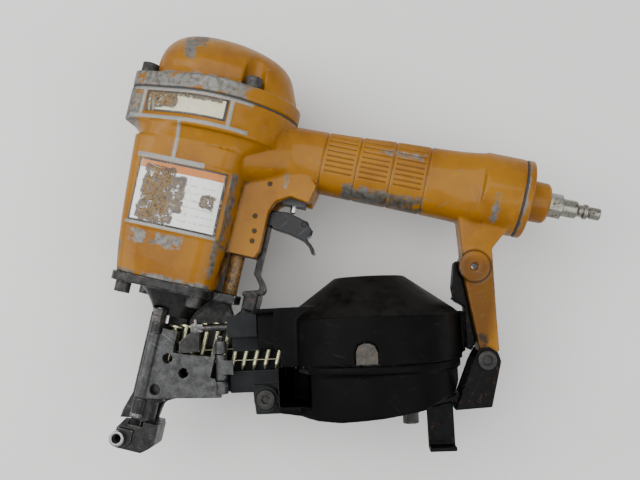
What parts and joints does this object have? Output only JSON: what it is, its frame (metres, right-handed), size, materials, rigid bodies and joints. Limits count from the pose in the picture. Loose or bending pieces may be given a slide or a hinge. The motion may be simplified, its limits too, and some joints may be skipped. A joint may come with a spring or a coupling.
{
  "type": "coil roofing nailer",
  "caption": "Pneumatic coil roofing nailer with a tilted round nail canister, side-opening nose door, contact foot and air plug.",
  "frame": {"origin": "centre of the drive channel at the work surface, under the contact foot", "axes": "+Y up the drive axis to the cap, +X back along the handle to the air plug, +Z out of the tool's left side"},
  "size_m": [0.3205, 0.2838, 0.1172],
  "materials": {
    "yellow_paint": "satin enamel, chipped to bare casting",
    "gasket": "matt",
    "bumper_rubber": "matt",
    "black_steel": "blackened, oily",
    "dark_casting": "phosphated casting",
    "grey_steel": "worn grey steel",
    "bright_steel": "ground bright",
    "spring_steel": "spring wire",
    "alloy": "anodised",
    "trigger_steel": "black, worn edge",
    "black_plastic": "satin moulded, scuffed",
    "black_bracket": "black paint",
    "catch_metal": "dull grey",
    "plated_nails": "galvanised",
    "plug_nickel": "worn nickel plate",
    "tube_yellow": "dirty yellow",
    "name_band": "printed plate, blank",
    "plate_white": "worn printed label, blank"
  },
  "bodies": {
    "tool_frame": {"air_plug": "plug_nickel", "air_tube": "tube_yellow", "arm_guide": "dark_casting", "bracket_pin": "black_steel", "bumper": "bumper_rubber", "cap_gasket": "gasket", "cap_screws": "black_steel", "cover_stay": "black_bracket", "cylinder_sleeve": "alloy", "door_nuts": "black_steel", "door_rod": "black_steel", "end_cap": "yellow_paint", "end_cap_gasket": "gasket", "end_cap_screws": "black_steel", "feed_cap": "grey_steel", "feed_cylinder": "grey_steel", "feed_spring": "spring_steel", "frame_cap": "yellow_paint", "head_valve_spring": "spring_steel", "housing": "yellow_paint", "magazine_cover": "black_plastic", "magazine_screws": "black_steel", "nail_guide": "dark_casting", "nail_strip": "plated_nails", "nameplate": "name_band", "nose_casting": "dark_casting", "nose_screws": "black_steel", "roll_pins": "bright_steel", "side_plate": "plate_white", "trigger_pin": "bright_steel", "trigger_spring": "spring_steel", "trip_spring": "spring_steel", "valve_body": "black_plastic", "valve_spring": "spring_steel"},
    "head_valve_body": {"head_valve": "alloy", "head_valve_seal": "gasket"},
    "drive_body": {"piston": "bright_steel", "driver_blade": "bright_steel", "piston_ring": "gasket"},
    "trigger_body": {"trigger": "trigger_steel", "lever_pin": "bright_steel"},
    "lever_body": {"trigger_lever": "trigger_steel"},
    "stem_body": {"valve_stem": "bright_steel"},
    "trip_body": {"contact_foot": "dark_casting", "foot_ring": "bright_steel", "contact_arm": "dark_casting"},
    "door_body": {"door": "grey_steel", "latch_pin": "bright_steel"},
    "latch_body": {"door_latch": "grey_steel"},
    "feed_body": {"feed_piston": "grey_steel", "pawl_pin": "bright_steel"},
    "pawl_body": {"feed_pawl": "grey_steel"},
    "catch_body": {"cover_catch": "catch_metal"},
    "bowl_body": {"magazine_bowl": "black_plastic", "coil_post": "alloy", "bowl_bracket": "black_bracket", "bowl_bolt": "black_steel", "rest_hook": "black_bracket", "nail_coil": "plated_nails"},
    "platform_body": {"nail_platform": "black_plastic"}
  },
  "joints": [
    {"name": "head_valve_slide", "type": "slide", "parent": "tool_frame", "child": "head_valve_body", "axis": [0, 1, 0], "range_m": [0, 0.005], "stiffness_N_per_m": 1200, "springref_m": -0.004, "deforming": ["head_valve_spring"]},
    {"name": "piston_slide", "type": "slide", "parent": "tool_frame", "child": "drive_body", "axis": [0, -1, 0], "range_m": [0, 0.076]},
    {"name": "trigger_pull", "type": "hinge", "parent": "tool_frame", "child": "trigger_body", "pos_m": [0.0463, 0.1682, 0], "axis": [0, 0, 1], "range_deg": [0, 12], "stiffness_Nm_per_rad": 0.6, "springref_deg": -11.46, "deforming": ["trigger_spring"]},
    {"name": "lever_tilt", "type": "hinge", "parent": "trigger_body", "child": "lever_body", "pos_m": [0.0781, 0.1703, 0], "axis": [0, 0, -1], "range_deg": [0, 20.5]},
    {"name": "stem_slide", "type": "slide", "parent": "tool_frame", "child": "stem_body", "axis": [0, 1, 0], "range_m": [0, 0.0045], "deforming": ["valve_spring"]},
    {"name": "trip_slide", "type": "slide", "parent": "tool_frame", "child": "trip_body", "axis": [0, 1, 0], "range_m": [0, 0.009], "stiffness_N_per_m": 600, "springref_m": -0.006, "deforming": ["trip_spring"]},
    {"name": "door_swing", "type": "hinge", "parent": "tool_frame", "child": "door_body", "pos_m": [-0.002, 0.06, 0.013], "axis": [0, -1, 0], "range_deg": [0, 110]},
    {"name": "latch_turn", "type": "hinge", "parent": "door_body", "child": "latch_body", "pos_m": [0.046, 0.067, 0.012], "axis": [0.2588, -0.9659, 0], "range_deg": [0, 35], "stiffness_Nm_per_rad": 0.2, "springref_deg": -17.19},
    {"name": "feed_slide", "type": "slide", "parent": "tool_frame", "child": "feed_body", "axis": [0.9659, 0.2588, 0], "range_m": [0, 0.008], "stiffness_N_per_m": 900, "springref_m": -0.004, "deforming": ["feed_spring"]},
    {"name": "pawl_tilt", "type": "hinge", "parent": "feed_body", "child": "pawl_body", "pos_m": [0.03138, 0.06239, 0.0165], "axis": [-0.2588, 0.9659, 0], "range_deg": [0, 20]},
    {"name": "catch_press", "type": "slide", "parent": "tool_frame", "child": "catch_body", "axis": [0, 0, -1], "range_m": [0, 0.0025], "stiffness_N_per_m": 1500, "springref_m": -0.001},
    {"name": "bowl_swing", "type": "hinge", "parent": "tool_frame", "child": "bowl_body", "pos_m": [0.212, 0.1088, 0], "axis": [0, 0, 1], "range_deg": [0, 60]},
    {"name": "platform_slide", "type": "slide", "parent": "bowl_body", "child": "platform_body", "axis": [0.2588, -0.9659, 0], "range_m": [0, 0.012]}
  ],
  "couplings": [
    {"joint": "stem_slide", "follows": "trigger_pull", "m_per_rad": 0.021},
    {"joint": "lever_tilt", "follows": "trip_slide", "rad_per_m": 39.7},
    {"joint": "pawl_tilt", "follows": "feed_slide", "rad_per_m": 43.6}
  ]
}
